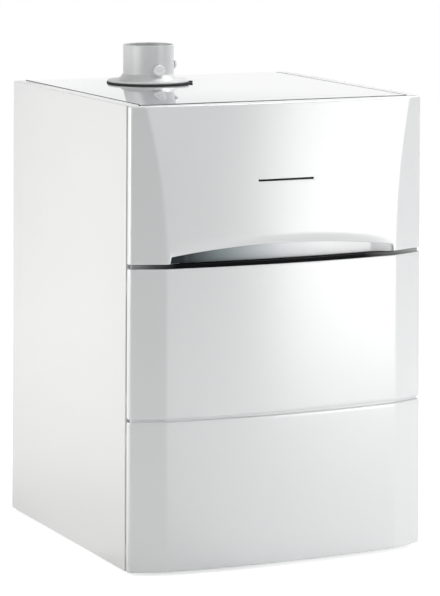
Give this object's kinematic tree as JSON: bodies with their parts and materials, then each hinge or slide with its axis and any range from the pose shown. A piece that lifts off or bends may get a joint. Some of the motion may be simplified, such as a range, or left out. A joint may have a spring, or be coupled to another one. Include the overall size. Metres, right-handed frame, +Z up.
{
  "type": "floor standing gas boiler",
  "caption": "Floor-standing condensing gas boiler: white sheet casing, bowed front panels, hinged control flap, rear flue collar, exchanger, fan, pump and controls inside.",
  "frame": {"origin": "centre of the overall box in X and Y, on the floor under the levelling feet", "axes": "+X to the right seen from the front, +Y to the rear, +Z up; the front panels face -Y"},
  "size_m": [0.6, 0.6238, 0.9255],
  "materials": {
    "black_rubber": "matt",
    "brass": "machined",
    "cast_aluminium": "cast",
    "cast_iron": "cast, painted",
    "circuit_green": "satin",
    "copper": "drawn tube, copper coloured",
    "dark_plastic": "matt",
    "display_glass": "clear, tinted",
    "galvanised": "zinc plated",
    "grey_plastic": "satin",
    "red_paint": "gloss",
    "red_plastic": "satin",
    "steel": "brushed",
    "white_paint": "gloss",
    "white_plastic": "satin",
    "yellow_paint": "gloss",
    "yellow_plastic": "satin"
  },
  "bodies": {
    "casing": {"air_silencer": "dark_plastic", "back_panel": "galvanised", "base_tray": "galvanised", "burner_hood": "cast_aluminium", "burner_plate": "steel", "collar_gasket": "black_rubber", "condensate_hose": "grey_plastic", "condensate_sump": "dark_plastic", "control_board": "circuit_green", "control_fascia": "grey_plastic", "corner_post_front_left": "galvanised", "corner_post_front_right": "galvanised", "corner_post_rear_left": "galvanised", "corner_post_rear_right": "galvanised", "display_window": "display_glass", "expansion_vessel": "red_paint", "fan_housing": "cast_aluminium", "fan_motor": "dark_plastic", "flow_pipe": "copper", "flue_collar": "white_plastic", "flue_duct": "white_plastic", "gas_cock": "brass", "gas_pipe": "yellow_paint", "gas_valve": "cast_aluminium", "heat_exchanger": "cast_aluminium", "hinge_bracket_left": "galvanised", "hinge_bracket_right": "galvanised", "ignition_electrode": "white_plastic", "pressure_gauge": "white_plastic", "pump_body": "cast_iron", "pump_outlet_pipe": "copper", "return_pipe": "copper", "safety_valve": "brass", "side_panel_left": "white_paint", "side_panel_right": "white_paint", "siphon": "grey_plastic", "top_cover": "white_paint", "upper_crossbar": "galvanised", "venturi": "dark_plastic"},
    "control_flap": {"control_flap": "white_plastic", "status_light_window": "dark_plastic", "flap_hinge_pin_left": "steel", "flap_hinge_pin_right": "steel"},
    "middle_front_panel": {"middle_front_panel": "white_plastic"},
    "lower_front_panel": {"lower_front_panel": "white_plastic"},
    "test_port_cap_front": {"test_port_cap_front": "white_plastic"},
    "test_port_cap_side": {"test_port_cap_side": "white_plastic"},
    "selector_knob": {"selector_knob": "dark_plastic"},
    "push_key_left": {"push_key_left": "white_plastic"},
    "push_key_right": {"push_key_right": "white_plastic"},
    "main_switch": {"main_switch": "dark_plastic"},
    "gauge_needle": {"gauge_needle": "red_plastic"},
    "fan_impeller": {"fan_impeller": "dark_plastic"},
    "pump_impeller": {"pump_impeller": "dark_plastic"},
    "gas_cock_lever": {"gas_cock_lever": "yellow_plastic"},
    "safety_valve_cap": {"safety_valve_cap": "red_plastic"},
    "levelling_foot_front_left": {"levelling_foot_front_left": "black_rubber"},
    "levelling_foot_front_right": {"levelling_foot_front_right": "black_rubber"},
    "levelling_foot_rear_left": {"levelling_foot_rear_left": "black_rubber"},
    "levelling_foot_rear_right": {"levelling_foot_rear_right": "black_rubber"}
  },
  "joints": [
    {"name": "flap_hinge", "type": "hinge", "parent": "casing", "child": "control_flap", "pos_m": [0, -0.26915, 0.8415], "axis": [-1, 0, 0], "range_deg": [0, 80]},
    {"name": "middle_panel_pull_off", "type": "slide", "parent": "casing", "child": "middle_front_panel", "axis": [0, -1, 0], "range_m": [0, 0.12]},
    {"name": "lower_panel_pull_off", "type": "slide", "parent": "casing", "child": "lower_front_panel", "axis": [0, -1, 0], "range_m": [0, 0.12]},
    {"name": "foot_height_front_left", "type": "slide", "parent": "casing", "child": "levelling_foot_front_left", "axis": [0, 0, 1], "range_m": [-0.02, 0]},
    {"name": "foot_height_front_right", "type": "slide", "parent": "casing", "child": "levelling_foot_front_right", "axis": [0, 0, 1], "range_m": [-0.02, 0]},
    {"name": "foot_height_rear_left", "type": "slide", "parent": "casing", "child": "levelling_foot_rear_left", "axis": [0, 0, 1], "range_m": [-0.02, 0]},
    {"name": "foot_height_rear_right", "type": "slide", "parent": "casing", "child": "levelling_foot_rear_right", "axis": [0, 0, 1], "range_m": [-0.02, 0]},
    {"name": "front_port_cap_pull", "type": "slide", "parent": "casing", "child": "test_port_cap_front", "axis": [0, -1, 0], "range_m": [0, 0.03]},
    {"name": "side_port_cap_pull", "type": "slide", "parent": "casing", "child": "test_port_cap_side", "axis": [1, 0, 0], "range_m": [0, 0.03]},
    {"name": "selector_turn", "type": "hinge", "parent": "casing", "child": "selector_knob", "pos_m": [0.07, -0.23815, 0.705], "axis": [0, -1, 0], "range_deg": [-135, 135]},
    {"name": "left_key_press", "type": "slide", "parent": "casing", "child": "push_key_left", "axis": [0, 1, 0], "range_m": [0, 0.0015], "stiffness_N_per_m": 300, "springref_m": -0.002},
    {"name": "right_key_press", "type": "slide", "parent": "casing", "child": "push_key_right", "axis": [0, 1, 0], "range_m": [0, 0.0015], "stiffness_N_per_m": 300, "springref_m": -0.002},
    {"name": "main_switch_rock", "type": "hinge", "parent": "casing", "child": "main_switch", "pos_m": [-0.19, -0.23615, 0.705], "axis": [1, 0, 0], "range_deg": [-8, 8]},
    {"name": "gauge_needle_swing", "type": "hinge", "parent": "casing", "child": "gauge_needle", "pos_m": [0.175, -0.24155, 0.705], "axis": [0, 1, 0], "range_deg": [-135, 135]},
    {"name": "fan_spin", "type": "hinge", "parent": "casing", "child": "fan_impeller", "pos_m": [-0.055, 0.04935, 0.7159], "axis": [1, 0, 0], "continuous": true},
    {"name": "pump_spin", "type": "hinge", "parent": "casing", "child": "pump_impeller", "pos_m": [0.11, -0.08785, 0.13], "axis": [0, 1, 0], "continuous": true},
    {"name": "gas_cock_turn", "type": "hinge", "parent": "casing", "child": "gas_cock_lever", "pos_m": [-0.215, 0.21435, 0.2723], "axis": [0, 0, 1], "range_deg": [0, 90]},
    {"name": "safety_valve_turn", "type": "hinge", "parent": "casing", "child": "safety_valve_cap", "pos_m": [0.105, 0.1246, 0.5696], "axis": [0, 0, 1], "range_deg": [0, 90]}
  ]
}
